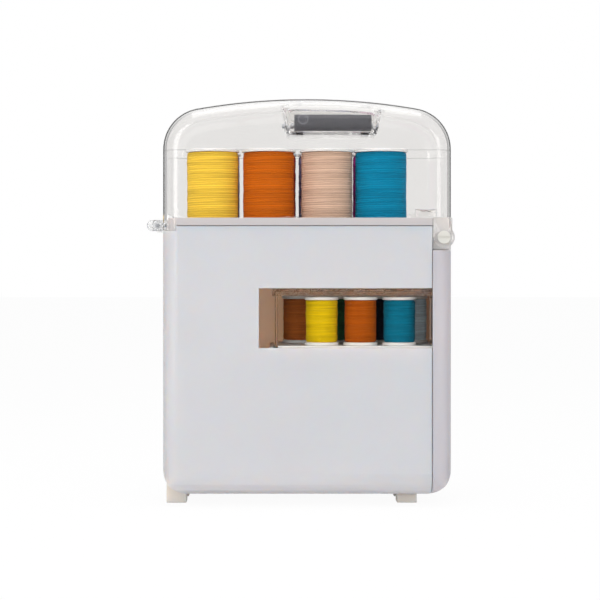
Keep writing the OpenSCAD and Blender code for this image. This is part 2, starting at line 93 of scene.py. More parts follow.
# %% [markdown]
# ## Writing colours
#
# A colour read off a screen is bent to suit the eye, while the shader counts light. Typing the
# screen's numbers in would give washed-out plastic, so each colour is straightened first.


# %% Colours
def srgb(r, g, b):
    """Linear colour for the shader from a colour as it looks on screen, 0 to 255."""
    values = np.array([r, g, b]) / 255
    linear = np.where(values <= 0.04045, values / 12.92, ((values + 0.055) / 1.055) ** 2.4)
    return (*linear.tolist(), 1.0)


def scaled(colour, share):
    """The colour with its light scaled by a share."""
    return (colour[0] * share, colour[1] * share, colour[2] * share, 1.0)


# %% [markdown]
# ## Writing materials
#
# A finish is a small tree of nodes round one Principled shader. The same few nodes come again
# and again: noise for tone and gloss, a blend of two colours, a bump. Wiring each by hand would
# hide what differs between finishes, so a short class holds the common steps.


# %% Material helpers
class Tree:
    """The nodes of a material or of the world, with short calls to add and join them.

    Wherever a call takes a value, it takes a plain one or another node's socket.
    """

    def __init__(self, owner):
        owner.use_nodes = True
        self.owner = owner
        self.nodes = owner.node_tree.nodes
        self.shader = self.nodes.get("Principled BSDF")

    def give(self, value, target):
        """Joins a socket to an input, or writes a plain value into it."""
        if isinstance(value, bpy.types.NodeSocket):
            self.owner.node_tree.links.new(value, target)
        else:
            target.default_value = value

    def add(self, kind, **inputs):
        """A new node, with its inputs given by name."""
        node = self.nodes.new("ShaderNode" + kind)
        for key, value in inputs.items():
            self.give(value, node.inputs[key.replace("_", " ")])
        return node

    def finish(self, **inputs):
        """Gives the Principled shader's inputs by name."""
        for key, value in inputs.items():
            self.give(value, self.shader.inputs[key.replace("_", " ")])

    def place(self):
        """Object coordinates, the same as the frame's metres."""
        return self.add("TexCoord").outputs["Object"]

    def noise(self, scale, detail=3.0, roughness=0.5):
        """Soft noise over the piece, with as many swells in a metre as the scale says."""
        node = self.add("TexNoise", Vector=self.place(), Scale=scale, Detail=detail, Roughness=roughness)
        return node.outputs["Fac"]

    def math(self, operation, *values, clamp=False):
        """The result of one Math node."""
        node = self.add("Math")
        node.operation = operation
        node.use_clamp = clamp
        for value, target in zip(values, node.inputs):
            self.give(value, target)
        return node.outputs[0]

    def blend(self, factor, first, second):
        """Colour between first and second by a factor."""
        mix = self.add("Mix")
        mix.data_type = "RGBA"
        self.give(factor, mix.inputs[0])
        self.give(first, mix.inputs[6])
        self.give(second, mix.inputs[7])
        return mix.outputs[2]

    def between(self, factor, low, high, start=0.0, end=1.0):
        """Value that goes from low to high while the factor goes from start to end."""
        ramp = self.add("MapRange", Value=factor, From_Min=start, From_Max=end, To_Min=low, To_Max=high)
        return ramp.outputs[0]

    def bump(self, height, strength, distance):
        """Lets a height shade the surface, up to a distance."""
        node = self.add("Bump", Height=height, Strength=strength, Distance=distance)
        self.finish(Normal=node.outputs[0])

    def show(self, factor, first, second):
        """Shows a mix of two shaders by a factor as the surface."""
        mix = self.add("MixShader")
        for value, target in zip((factor, first, second), mix.inputs):
            self.give(value, target)
        output = self.nodes.get("Material Output") or self.nodes.get("World Output")
        self.give(mix.outputs[0], output.inputs["Surface"])


# %% [markdown]
# ## Moulded white plastic
#
# The case is satin white polystyrene. Light wanders a little way inside such a wall, so its
# corners look soft and the inside of the case glows warm. A plain diffuse colour would look like
# paint. The shader's own subsurface light does it, with a fine spark grain as bump and slow
# waves in the gloss, as a polished mould leaves.


# %% Moulded plastic
TONE_SWELLS = 14.0
GLOSS_SWELLS = 60.0
DULLEST_TONE = 0.975
BRIGHTEST_TONE = 1.02
GRAIN_PER_METRE = 2600.0
GRAIN_HEIGHT = 0.04 * MM
GLOW_REACH = 12 * MM
RED_WANDERS_FURTHEST = (1.0, 0.66, 0.46)


def moulded(name, colour, roughness=0.38, grain=0.12, gloss=0.45, glow=0.1):
    """Satin moulded plastic: fine spark grain, slow gloss waves and a faint shift of tone.

    The glow is the share of light that wanders inside the wall. Red wanders furthest, so
    light that has come through a white wall is warm.
    """
    t = Tree(bpy.data.materials.new(name))
    tone = t.noise(TONE_SWELLS, 2.0)
    t.finish(
        Base_Color=t.blend(tone, scaled(colour, DULLEST_TONE), scaled(colour, BRIGHTEST_TONE)),
        Roughness=t.between(t.noise(GLOSS_SWELLS), roughness - 0.05, roughness + 0.06),
        Specular_IOR_Level=gloss,
        Subsurface_Weight=glow,
        Subsurface_Radius=RED_WANDERS_FURTHEST,
        Subsurface_Scale=GLOW_REACH,
    )
    t.bump(t.noise(GRAIN_PER_METRE, 2.0, 0.6), grain, GRAIN_HEIGHT)
    return t.owner


# %% [markdown]
# ## Steel pins and screws
#
# The handle's and latch's pins are drawn wire. A mirror would be too clean: the drawing die
# leaves fine marks, so the roughness and a slight bump come from a fine noise.


# %% Steel
DIE_TONES_PER_METRE = 900.0
DIE_GLOSS_PER_METRE = 1500.0
DIE_MARKS_PER_METRE = 3000.0
DIE_MARK_HEIGHT = 0.03 * MM


def steel(name, colour):
    """Drawn steel: fine marks of the die in its tone, its gloss and its height."""
    t = Tree(bpy.data.materials.new(name))
    tone = t.noise(DIE_TONES_PER_METRE, 2.0)
    t.finish(
        Metallic=1.0,
        Base_Color=t.blend(tone, scaled(colour, 0.9), scaled(colour, 1.05)),
        Roughness=t.between(t.noise(DIE_GLOSS_PER_METRE, 2.0), 0.22, 0.38),
    )
    t.bump(t.noise(DIE_MARKS_PER_METRE, 2.0), 0.1, DIE_MARK_HEIGHT)
    return t.owner


# %% [markdown]
# ## Clear plastic
#
# The lid and bins are clear polystyrene. It could be faked with a see-through diffuse colour,
# but then the edges would not darken. Here light really bends through each wall. Lamps pass
# straight through, since a path tracer finds lamps behind glass only by luck. A ray that is
# caught inside a wall for long is let go little by little, so that edges are grey and not black.


# %% Clear plastic
PLASTIC_IOR = 1.40
WIPING_MARKS = 45.0
BELT_HALF = 0.35 * MM
BELT_SHADE = 0.80
FREE_BOUNCES = 6.0
BOUNCES_TO_LOSE = 2.0


def clear(name, colour, roughness=0.03, mark=0.02, wave=22.0, ripple=0.0004, line=0.0):
    """Clear plastic: bends light a little, has faint wiping marks and lets the lamps through.

    The wave is how many swells its face has in a metre and the ripple how high they are. A
    mould line, where given, is a fine darker belt at that height. The share of a ray that
    goes straight on is its bounces less the free ones, over the bounces to lose it in.
    """
    t = Tree(bpy.data.materials.new(name))
    tint = colour
    if line:
        height = t.add("SeparateXYZ", Vector=t.place()).outputs["Z"]
        tint = t.blend(t.math("COMPARE", height, line, BELT_HALF), colour, scaled(colour, BELT_SHADE))
    t.finish(
        Base_Color=tint,
        Transmission_Weight=1.0,
        IOR=PLASTIC_IOR,
        Roughness=t.between(t.noise(WIPING_MARKS), roughness, roughness + mark),
    )
    t.bump(t.noise(wave, 2.0), 0.08, ripple)
    path = t.add("LightPath")
    share = 1 / BOUNCES_TO_LOSE
    lost = t.math("MULTIPLY_ADD", path.outputs["Ray Depth"], share, -FREE_BOUNCES * share, clamp=True)
    straight = t.math("MAXIMUM", path.outputs["Is Shadow Ray"], lost)
    passing = t.add("BsdfTransparent", Color=(1, 1, 1, 1))
    t.show(straight, t.shader.outputs[0], passing.outputs[0])
    return t.owner


# %% [markdown]
# ## The handle's plastic
#
# The handle is dark grey and a little coarser. Near its left end an ejector pin has left a
# round mark. Cutting it into the mesh would change a piece of the construction model, so the
# material draws it from its distance to a point, as a paler disc and a bright ring that are
# painted highlights for the light the mark catches.


# %% Handle plastic
# Painted highlight: how much lighter the mark's disc and ring are than the handle.
DISC_HIGHLIGHT_SHARE = 1.35
RING_HIGHLIGHT_SHARE = 2.4
RING_HALF = 0.5 * MM


def handle_plastic_painted_highlight(name, colour, ring_x, ring_z, ring_r):
    """Dark grained plastic with the round mark of an ejector pin near its left end.

    The mark depends on the distance from its centre in X and Z alone: inside its radius lies a
    paler disc, and round that radius a narrow bright ring. Both are painted highlights for the
    light that the mark's face and rim catch.
    """
    t = Tree(moulded(name, colour, roughness=0.42, grain=0.3, gloss=0.5, glow=0.0))
    flat = t.add("VectorMath")
    flat.operation = "MULTIPLY_ADD"
    t.give(t.place(), flat.inputs[0])
    t.give((1, 0, 1), flat.inputs[1])
    t.give((-ring_x, 0, -ring_z), flat.inputs[2])
    reach = t.add("VectorMath")
    reach.operation = "LENGTH"
    t.give(flat.outputs[0], reach.inputs[0])
    tone = t.shader.inputs["Base Color"].links[0].from_socket
    # Paints the highlight: a paler disc, then a bright ring round it.
    for middle, half, share in ((0.0, ring_r, DISC_HIGHLIGHT_SHARE), (ring_r, RING_HALF, RING_HIGHLIGHT_SHARE)):
        band = t.math("COMPARE", reach.outputs["Value"], middle, half)
        tone = t.blend(band, tone, scaled(colour, share))
    t.finish(Base_Color=tone)
    return t.owner


# %% [markdown]
# ## The finishes of this box
#
# Every white part has a tone of its own in the photograph: the drawer is greyer than the case,
# the rim greyer still, the tray brightest. The hinge beam's darker white is painted shade, for
# the shade it lies in between the clear lugs. The colours are picked to look as the photograph
# does once they are lit, so they differ a little from the colours seen.

# %% Finishes
handle_low, handle_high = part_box("carry_handle")
RING_FROM_END = 5.7 * MM
RING_FROM_TOP = 3.4 * MM
RING_RADIUS = 3.2 * MM
BELT_HEIGHT = 0.2316
white_shell = moulded("white_shell", srgb(213, 203, 204), glow=1.0)
white_front = moulded("white_drawer", srgb(187, 182, 187), glow=0.5)
white_frame = moulded("white_frame", srgb(184, 180, 181), glow=0.2)
white_inside = moulded("white_inside", srgb(236, 232, 229), glow=0.4)
# The hinge beam is painted darker than its white plastic: painted shade for the shade it lies in between
# the clear lugs.
white_beam_painted_shade = moulded("white_beam_painted_shade", srgb(192, 189, 188), glow=0.3)
white_tray = moulded("white_tray", srgb(236, 235, 234), 0.34, glow=0.4)
white_pin = moulded("hinge_pin_white", srgb(206, 204, 197), 0.3)
spool_core = moulded("spool_core", srgb(226, 226, 225), 0.3, 0.08)
foot_pad = moulded("foot_pad", srgb(216, 208, 199), 0.5, 0.2, glow=0.6)
ring_x = handle_low[0] + RING_FROM_END
ring_z = handle_high[2] - RING_FROM_TOP
dark_handle = handle_plastic_painted_highlight("dark_handle", srgb(71, 72, 79), ring_x, ring_z, RING_RADIUS)
bright_steel = steel("steel_pin", srgb(176, 178, 182))
clear_lid = clear("clear_lid", srgb(247, 246, 245), line=BELT_HEIGHT)
clear_latch = clear("clear_latch", srgb(244, 246, 248), 0.05)
clear_bin = clear("clear_bin", srgb(252, 249, 245))
clear_cover = clear("clear_bin_cover", srgb(250, 246, 242), 0.08, 0.05, wave=300.0, ripple=0.02)
print("materials", len(bpy.data.materials))


# %% [markdown]
# ## Dyed thread
#
# From a metre away a spool shows soft ridges, where some turns lie together in a band, with a
# dark line between two ridges. Close up each band is fine turns. One wave texture would give
# stripes as even as a screw's, so each ridge has its own tone and its own strength of shadow.


# %% Thread
THREADS_IN_RIDGE = 5
TONES_PER_RIDGE = (0.9, 0.9, 1.0)
TONE_EDGE = (0.42, 0.58)
DARK_RIDGE = 0.78
PALE_RIDGE = 1.12
IN_GROOVE = 0.35
GROOVE_WIDTH = 0.20
GROOVE_SHADE = 0.55
TURN_HEIGHT = 0.1 * MM


def thread_material(name, colour):
    """Dyed thread: each ridge has its own tone, its groove lies in shade, fine turns cover it.

    The surface carries its own UV: U runs along the thread in turns and V counts the ridges,
    so the tones and the fine turns follow the winding wherever it goes. The shade depends on
    how far V is from a whole number, and the turns are V folded as often as a ridge has threads.
    """
    t = Tree(bpy.data.materials.new(name))
    uv = t.add("UVMap")
    uv.uv_map = "wind"
    bands = t.add("Mapping", Vector=uv.outputs[0], Scale=TONES_PER_RIDGE)
    tones = t.add("TexNoise", Vector=bands.outputs[0], Scale=1.0, Detail=3.0, Roughness=0.7)
    strong = t.between(tones.outputs["Fac"], 0.0, 1.0, *TONE_EDGE)
    tone = t.blend(strong, scaled(colour, DARK_RIDGE), scaled(colour, PALE_RIDGE))
    ridges = t.add("SeparateXYZ", Vector=uv.outputs[0]).outputs["Y"]
    from_groove = t.math("PINGPONG", t.math("FRACT", ridges), 0.5)
    groove = t.between(from_groove, GROOVE_SHADE, 0.0, 0.0, GROOVE_WIDTH)
    turns = t.math("PINGPONG", t.math("MULTIPLY", ridges, THREADS_IN_RIDGE), 0.5)
    t.finish(
        Base_Color=t.blend(groove, tone, scaled(colour, IN_GROOVE)),
        Roughness=0.7,
        Specular_IOR_Level=0.08,
        Sheen_Weight=0.02,
        Sheen_Roughness=0.5,
    )
    t.bump(turns, 0.4, TURN_HEIGHT)
    return t.owner


# %% [markdown]
# ## Thread colours
#
# The near row is yellow, orange, peach and teal. The far row shows only as slivers, so its
# colours are a guess from those; its navy and slate violet are painted paler than the thread's
# own colour, a painted light for the light that hardly reaches between the spools. Spools in
# the window are a stronger yellow, orange and teal, with brown, green, navy and pale blue behind.

# %% Thread colours
LARGE_COLOURS = [
    ("yellow", (234, 194, 68)),
    ("orange", (192, 94, 8)),
    ("peach", (204, 172, 150)),
    ("teal", (1, 125, 162)),
    # Painted light: this navy and the slate violet below are lifted pale for the light that hardly
    # reaches between the spools.
    ("navy", (146, 166, 196)),
    ("crimson", (200, 18, 66)),
    ("slate_violet", (152, 158, 206)),
    ("magenta", (206, 50, 156)),
]
SMALL_COLOURS = [
    ("bright_yellow", (218, 186, 4)),
    ("burnt_orange", (170, 81, 3)),
    ("dark_teal", (1, 112, 142)),
    ("brown", (192, 106, 42)),
    ("dark_green", (44, 120, 70)),
    ("navy", (14, 20, 48)),
    ("pale_blue", (226, 244, 255)),
]
print("thread colours", len(LARGE_COLOURS) + len(SMALL_COLOURS))

# %% [markdown]
# ## Meshes from arrays
#
# New pieces are grids of points worked out by formula. Blender could take them point by point,
# but a spool has tens of thousands, so whole arrays are handed over at once.


# %% Mesh helpers
def add_object(name, mesh, sharp=None):
    """Puts a mesh into the scene, smooth but for edges sharper than an angle in degrees."""
    mesh.validate()
    mesh.polygons.foreach_set("use_smooth", np.ones(len(mesh.polygons), dtype=bool))
    if sharp:
        mesh.set_sharp_from_angle(angle=math.radians(sharp))
    obj = bpy.data.objects.new(name, mesh)
    bpy.context.collection.objects.link(obj)
    return obj


def array_mesh(name, points, faces, uv=None):
    """A mesh from arrays of points and of faces that all have the same number of corners."""
    mesh = bpy.data.meshes.new(name)
    mesh.vertices.add(len(points))
    mesh.vertices.foreach_set("co", points.astype(np.float32).ravel())
    mesh.loops.add(faces.size)
    mesh.loops.foreach_set("vertex_index", faces.astype(np.int32).ravel())
    mesh.polygons.add(len(faces))
    starts = np.arange(0, faces.size, faces.shape[1], dtype=np.int32)
    mesh.polygons.foreach_set("loop_start", starts)
    mesh.update(calc_edges=True)
    if uv is not None:
        layer = mesh.uv_layers.new(name="wind")
        layer.data.foreach_set("uv", uv.astype(np.float32).ravel())
    return mesh


def grid_faces(rows, columns, closed):
    """Quads over a grid of points, closed round its columns when asked."""
    last = columns if closed else columns - 1
    row, column = np.meshgrid(np.arange(rows - 1), np.arange(last), indexing="ij")
    right = (column + 1) % columns
    low = row * columns
    return np.stack([low + column, low + right, low + columns + right, low + columns + column], -1)


# %% [markdown]
# ## The winding's skin
#
# On the real spool one thread runs round and round between the flanges, each turn bedded
# against the last. A tube that follows the whole thread would be kilometres long, and a plain
# cylinder has no ridges. A single skin does it: it follows a helix, rises to a crest in each
# ridge and dips to a groove between two. Slow changes in its radius stand for the layers below,
# which never lie quite even.


# %% Winding
ROWS_PER_RIDGE = 8
GROOVE_DEPTH = 0.30
SKIN_INSET = 0.3 * MM
END_SLOPE = 0.8 * MM
END_REACH = 0.6 * MM
RIDGE_LIFT = 0.1 * MM
LAYER_LIFT = 0.18 * MM


def winding(name, centre, base, top, bore, radius, pitch, around, seed):
    """Thread on a spool as one closed skin of revolution that follows a helix.

    Rows climb from the lower end to the upper. The phase at height z and angle a is
    z / pitch - a / turn, which counts the ridges. The radius there is the spool's, less a
    groove wherever the phase is near a whole number, less a short slope at both ends, with a
    small random lift for each ridge. Inside, the skin returns along the bore.
    """
    rng = np.random.default_rng(seed)
    rows = int((top - base) / pitch * ROWS_PER_RIDGE)
    angle = np.linspace(0, 2 * np.pi, around, endpoint=False)
    z, a = np.meshgrid(np.linspace(base, top, rows), angle, indexing="ij")
    phase = (z - base) / pitch - a / (2 * np.pi)
    groove = pitch * GROOVE_DEPTH * (1 - np.sqrt(np.abs(np.sin(np.pi * phase))))
    slope = END_SLOPE * np.exp(-np.minimum(z - base, top - z) / END_REACH)
    ridges = np.arange(-2, int(phase.max()) + 3)
    lift = rng.normal(0, 1, len(ridges))
    layers = np.convolve(rng.normal(0, 1, len(ridges) + 4), np.ones(5) / 5, "valid")
    uneven = np.interp(phase, ridges + 0.5, lift * RIDGE_LIFT + layers * LAYER_LIFT)
    r = np.minimum(radius - SKIN_INSET - groove - slope + uneven, radius)
    rim = np.full((1, around), bore)
    r = np.concatenate([rim, r, rim])
    z = np.concatenate([z[:1], z, z[-1:]])
    a = np.concatenate([a[:1], a, a[:1]])
    points = np.stack([centre[0] + r * np.cos(a), centre[1] + r * np.sin(a), z], -1).reshape(-1, 3)
    faces = grid_faces(len(z) + 1, around, True).reshape(-1, 4) % len(points)
    row, column = np.divmod(faces, around)
    wraps = (column.max(1, keepdims=True) == around - 1) & (column.min(1, keepdims=True) == 0)
    turn = np.where(wraps & (column == 0), 1.0, column / around)
    uv = np.stack([turn, (z[:, 0][row] - base) / pitch - turn], -1)
    return add_object(name, array_mesh(name, points, faces, uv))


# %% [markdown]
# ## Fifteen wound spools
#
# Each winding of the construction model gives its place, its radius and the body that turns it.
# The skin takes the place of that node, from flange to flange. Each spool has a seed of its own,
# so no two are wound alike.


# %% Spools
BORES = {"large": 8.05 * MM, "small": 5.55 * MM}
FLANGE = 2.0 * MM
FLANGE_GAP = 0.03 * MM
FIRST_SEED = 41


def dress_threads(kind, colours, pitch, around):
    """Replaces each thread of a kind of spool with its wound skin."""
    for i, (shade, rgb) in enumerate(colours, start=1):
        node = f"{kind}_thread_{i}"
        low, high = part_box(node)
        core_low, core_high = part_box(f"{kind}_core_{i}")
        centre = ((core_low[0] + core_high[0]) / 2, (core_low[1] + core_high[1]) / 2)
        radius = (high[0] - low[0]) / 2
        base = core_low[2] + FLANGE + FLANGE_GAP
        top = core_high[2] - FLANGE - FLANGE_GAP
        seed = FIRST_SEED - 1 + i
        name = f"{kind}_winding_{i}"
        obj = winding(name, centre, base, top, BORES[kind], radius, pitch, around, seed)
        obj.data.materials.append(thread_material(f"{kind}_{shade}", srgb(*rgb)))
        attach(obj, f"{kind}_spool_{i}")
        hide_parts(node)


LARGE_RIDGE = 1.45 * MM
SMALL_RIDGE = 0.8 * MM
LARGE_COLUMNS = 128
SMALL_COLUMNS = 96
dress_threads("large", LARGE_COLOURS, LARGE_RIDGE, LARGE_COLUMNS)
dress_threads("small", SMALL_COLOURS, SMALL_RIDGE, SMALL_COLUMNS)

# %% [markdown]
# ## Rounded edges
#
# No moulded edge is quite sharp, and its rounding is what catches the light. A construction mesh
# is loose triangles, so their corners are welded first; then a bevel finds the sharp edges by
# their angle. Rounding each edge by hand would take a list of edges for every piece.


# %% Rounded edges
WELD_REACH = 0.002 * MM
SHARPER_THAN = math.radians(50)


def soften(obj, width, segments=2):
    """A small rounding on an object's sharp edges."""
    bevel = obj.modifiers.new("rounding", "BEVEL")
    bevel.width = width
    bevel.segments = segments
    bevel.limit_method = "ANGLE"
    bevel.angle_limit = SHARPER_THAN
    bevel.harden_normals = True


def dress(node, material, rounding, segments=2):
    """Gives a construction piece its material and a small rounding on sharp edges."""
    obj = nodes[node]
    obj.data.materials.clear()
    obj.data.materials.append(material)
    weld = obj.modifiers.new("weld", "WELD")
    weld.merge_threshold = WELD_REACH
    soften(obj, rounding, segments)


# %% [markdown]
# ## Pieces kept from the construction model
#
# These have their true shape already: the cores, feet, screws, mouldings and pins. Each gets its
# finish and a rounding in millimetres. The handle is held in the hand, so its edges are rounder.

# %% Kept pieces
for node in nodes:
    if node.startswith(("large_core", "small_core")):
        dress(node, spool_core, 0.3 * MM)
    elif node.startswith("foot_"):
        dress(node, foot_pad, 0.6 * MM)
    elif node.startswith("front_screw"):
        dress(node, bright_steel, 0.2 * MM)

KEPT = (
    ("main_shell", white_shell, 0.4),
    ("drawer_front", white_front, 0.4),
    ("top_frame", white_frame, 0.5),
    ("hinge_beam", white_beam_painted_shade, 0.5),
    ("tray_rail_near", white_frame, 0.3),
    ("tray_rail_far", white_frame, 0.3),
    ("spool_tray", white_tray, 0.4),
    ("bin_rack", white_tray, 0.3),
    ("drawer_frame", white_inside, 0.4),
    ("hinge_pin_near", white_pin, 0.4),
    ("hinge_pin_far", white_pin, 0.4),
    ("handle_pin_left", bright_steel, 0.3),
    ("handle_pin_right", bright_steel, 0.3),
    ("latch_pin", bright_steel, 0.2),
    ("latch_tab", clear_latch, 0.4),
    ("spool_bin", clear_bin, 0.4),
    ("bin_lid", clear_cover, 0.4),
    ("notions_bin", clear_bin, 0.4),
)
for node, material, rounding in KEPT:
    dress(node, material, rounding * MM)
dress("carry_handle", dark_handle, 1.2 * MM, 3)
print("kept pieces", sum(bool(obj.modifiers) for obj in nodes.values()))

# %% [markdown]
# ## The clear lid
#
# The lid is one moulding of even thickness: a long low arc over round shoulders, straight
# sides, and a pocket in the roof where the handle lies. A cube with rounded edges would miss
# the slow arc and the pocket's drafted walls, so the outside and the inside are two grids of
# points over the same rows and columns. A row follows the outline seen from the broad side; the
# rows step across the case, from the near wall over the roof to the far wall. Faces left out of
# both grids make the latch window, and a strip of faces closes every edge between the skins.


# %% Lid measures
beam_low, beam_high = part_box("hinge_beam")
lid_low, lid_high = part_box("lid_dome")
frame_low, frame_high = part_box("top_frame")
pin_box_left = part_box("handle_pin_left")
pin_box_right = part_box("handle_pin_right")
tab_low, tab_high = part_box("latch_tab")
right_face = beam_high[0]
half_width = shell_high[1]
middle_x = (left_face + right_face) / 2
half_length = (right_face - left_face) / 2
WALL = 2.2 * MM
EDGE_RADIUS = 10 * MM
SHOULDER_RADIUS = 27 * MM
CROWN_RADIUS = 417 * MM
POCKET_HALF = 22 * MM
POCKET_DEPTH = 22.2 * MM
POCKET_WALL = 2 * MM
POCKET_DRAFT = 2.6 * MM
POCKET_ROUND = 1.8 * MM
LID_GAP = 0.2 * MM
SKIRT_DROP = 3.0 * MM
SKIRT_LENGTH = 8.5 * MM
LATCH_GAP = 0.3 * MM
WINDOW_HEIGHT = 2.2 * MM
lid_base = frame_high[2] + LID_GAP
skirt_base = shell_high[2] - SKIRT_DROP
skirt_x = left_face + SKIRT_LENGTH
window_half = tab_high[1] + LATCH_GAP
window_top = lid_base + WINDOW_HEIGHT
lid_top = lid_high[2]
crown_z = lid_top - CROWN_RADIUS
inner_reach = half_length - SHOULDER_RADIUS
shoulder_z = crown_z + math.sqrt((CROWN_RADIUS - SHOULDER_RADIUS) ** 2 - inner_reach**2)
shoulder_angle = math.acos(inner_reach / (CROWN_RADIUS - SHOULDER_RADIUS))
pocket_left = pin_box_left[0][0]
pocket_right = pin_box_right[1][0]
pocket_floor = lid_top - POCKET_DEPTH
print("lid base", round(lid_base, 4), "shoulder height", round(shoulder_z, 4))


# %% [markdown]
# ## The pocket's profile
#
# The handle lies in a well in the roof. Its walls lean out so that the moulding leaves the tool,
# and its lip and foot are rounded. A box cut from the roof would be sharp and square. A row of
# places, each with its share of the depth, gives those slopes with few points.


# %% Pocket
LIP_PLACES = np.array([-1.0, -0.3, 0.0, 0.06]) * POCKET_ROUND
FOOT_PLACES = np.array([0.0, 0.4, 1.0]) * POCKET_ROUND + POCKET_DRAFT
WALL_PLACES = np.concatenate([LIP_PLACES, FOOT_PLACES])
WALL_DROPS = np.array([0.0, 0.02, 0.08, 0.15, 0.92, 0.98, 1.0])


def pocket_steps(low, high, outer_low, outer_high, wall):
    """Places across the pocket and how far down each one lies, from 0 at the roof to 1.

    From the left come level roof, a rounded lip, a drafted wall, a rounded foot and the floor.
    The right wall is the left one mirrored.
    """
    left = low + wall + WALL_PLACES
    right = high - wall - WALL_PLACES[::-1]
    before = np.linspace(outer_low, left[0], 10)[1:-1]
    between = np.linspace(left[-1], right[0], 12)[1:-1]
    after = np.linspace(right[-1], outer_high, 10)[1:-1]
    places = np.concatenate([before, left, between, right, after])
    drops = np.concatenate([before * 0, WALL_DROPS, between * 0 + 1, WALL_DROPS[::-1], after * 0])
    return places, drops


# %% [markdown]
# ## Columns of the outline
#
# Seen from the broad side, the lid's outline is two straight sides, two round shoulders and one
# long arc. A column is one place on it. Keeping the angle or height of each, and not its point,
# lets the same columns serve at any distance inside the lid's outside.


# %% Outline
SIDE, SHOULDER, CROWN = 0, 1, 2


def lid_columns(inset, wall):
    """The outline's columns, from the left skirt over the top to the right base.

    Four arrays say of each column what it lies on, on which side, its height on a side or else
    its angle on the shoulder or crown, and how deep in the pocket it goes.
    """
    heights = np.linspace(window_top, shoulder_z, 12)[:-1]
    arc = np.linspace(np.pi, np.pi - shoulder_angle, 16)
    radius = CROWN_RADIUS - inset
    reach = radius * math.cos(shoulder_angle)
    x, drops = pocket_steps(pocket_left, pocket_right, middle_x - reach, middle_x + reach, wall)
    groups = (
        (SIDE, -1, np.concatenate([[skirt_base, lid_base], heights])),
        (SHOULDER, -1, arc),
        (CROWN, 0, np.arccos((x - middle_x) / radius)),
        (SHOULDER, 1, np.pi - arc[::-1]),
        (SIDE, 1, np.append(heights[::-1], lid_base)),
    )
    kind = np.concatenate([np.full(len(values), k) for k, _, values in groups])
    side = np.concatenate([np.full(len(values), way) for _, way, values in groups])
    sink = np.zeros(len(kind))
    sink[kind == CROWN] = drops
    return kind, side, np.concatenate([values for _, _, values in groups]), sink


def outline(columns, inset):
    """X and Z of every column at an inset from the lid's outside.

    A side lies half the lid's length from its middle. A shoulder and the crown lie a radius
    from their centre, at the column's angle. The inset is taken off the length and the radii.
    """
    kind, side, value, _ = columns
    shoulder = SHOULDER_RADIUS - inset
    crown = CROWN_RADIUS - inset
    on = [kind == SIDE, kind == SHOULDER]
    x_of = [side * (half_length - inset), side * inner_reach + shoulder * np.cos(value)]
    z_of = [value, shoulder_z + shoulder * np.sin(value)]
    x = middle_x + np.select(on, x_of, crown * np.cos(value))
    return np.stack([x, np.select(on, z_of, crown_z + crown * np.sin(value))], -1)


# %% [markdown]
# ## Rows across the lid
#
# The near and far walls are flat with a 10 mm rounding round them. Rows shrink towards a hub to
# fill the flat wall, turn through the rounding, run over the roof with the pocket, and come down
# again on the far side. The same function makes the outside and the inside.


# %% Skins
FLAT_ROWS = 9
TURN_ROWS = 9


def lid_skin(inset, wall, floor):
    """Points of one skin of the lid, as an array of rows by columns.

    A row of the flat wall is the outline shrunk towards the hub. In the rounding the inset
    grows with 1 - sin(t) and the row moves across with 1 - cos(t). Each height then goes down
    to the pocket's floor by the lesser of its row's drop and its column's.
    """
    columns = lid_columns(inset, wall)
    half = half_width - inset
    r = EDGE_RADIUS - inset
    first_turn = math.asin(1 - (skirt_x - left_face - inset) / r)
    turns = np.linspace(first_turn, np.pi / 2, TURN_ROWS)
    hub = np.array([middle_x, lid_base])
    flat = outline(columns, EDGE_RADIUS)
    flat[:, 1] = np.maximum(flat[:, 1], lid_base)
    near = [hub + share * (flat - hub) for share in np.linspace(0, 1, FLAT_ROWS)]
    near += [outline(columns, inset + r * (1 - math.sin(t))) for t in turns]
    near_y = np.append(np.full(FLAT_ROWS, -half), -half + r * (1 - np.cos(turns)))
    y, drops = pocket_steps(-POCKET_HALF, POCKET_HALF, -window_half, window_half, wall)
    slices = np.array(near + [outline(columns, inset)] * (len(y) + 2) + near[::-1])
    across = np.concatenate([near_y, [-window_half], y, [window_half], -near_y[::-1]])
    level = np.zeros(len(near) + 1)
    down = np.minimum.outer(np.concatenate([level, drops, level]), columns[3])
    x = slices[:, :, 0]
    z = slices[:, :, 1] * (1 - down) + floor * down
    return np.stack([x, np.broadcast_to(across[:, None], x.shape), z], -1)


# %% [markdown]
# ## Openings
#
# The latch reaches through a window at the lid's left end, and the skirt there has two sides
# only. Cutting these with a boolean would leave long thin faces in clear plastic, where every
# fault shows. Leaving grid faces out keeps the walls clean.


# %% Openings
BARELY = 0.01 * MM


def lid_faces(points):
    """Faces that both skins have: none in the latch window or below the base past the skirt."""
    rows, count = points.shape[:2]
    centre = points[:-1, :-1] / 2 + points[1:, 1:] / 2
    in_window = (np.abs(centre[:, :, 1]) < window_half) & (centre[:, :, 2] < window_top)
    in_window &= centre[:, :, 0] < middle_x - inner_reach
    in_skirt = np.arange(count - 1)[None, :] == 0
    beyond = np.maximum(points[:-1, :1, 0], points[1:, :1, 0]) > skirt_x + BARELY
    return grid_faces(rows, count, False)[~in_window & ~(in_skirt & beyond)]


# %% [markdown]
# ## Closing the two skins
#
# A real wall has an outside, an inside and an edge between them. A Solidify modifier would give
# the wall its thickness, but not the pocket's own. So the inside is a grid of its own, and
# strips join the two wherever one has an open edge: at the base, the skirt and the window.


# %% Closed skins
SMOOTH_BELOW = 40


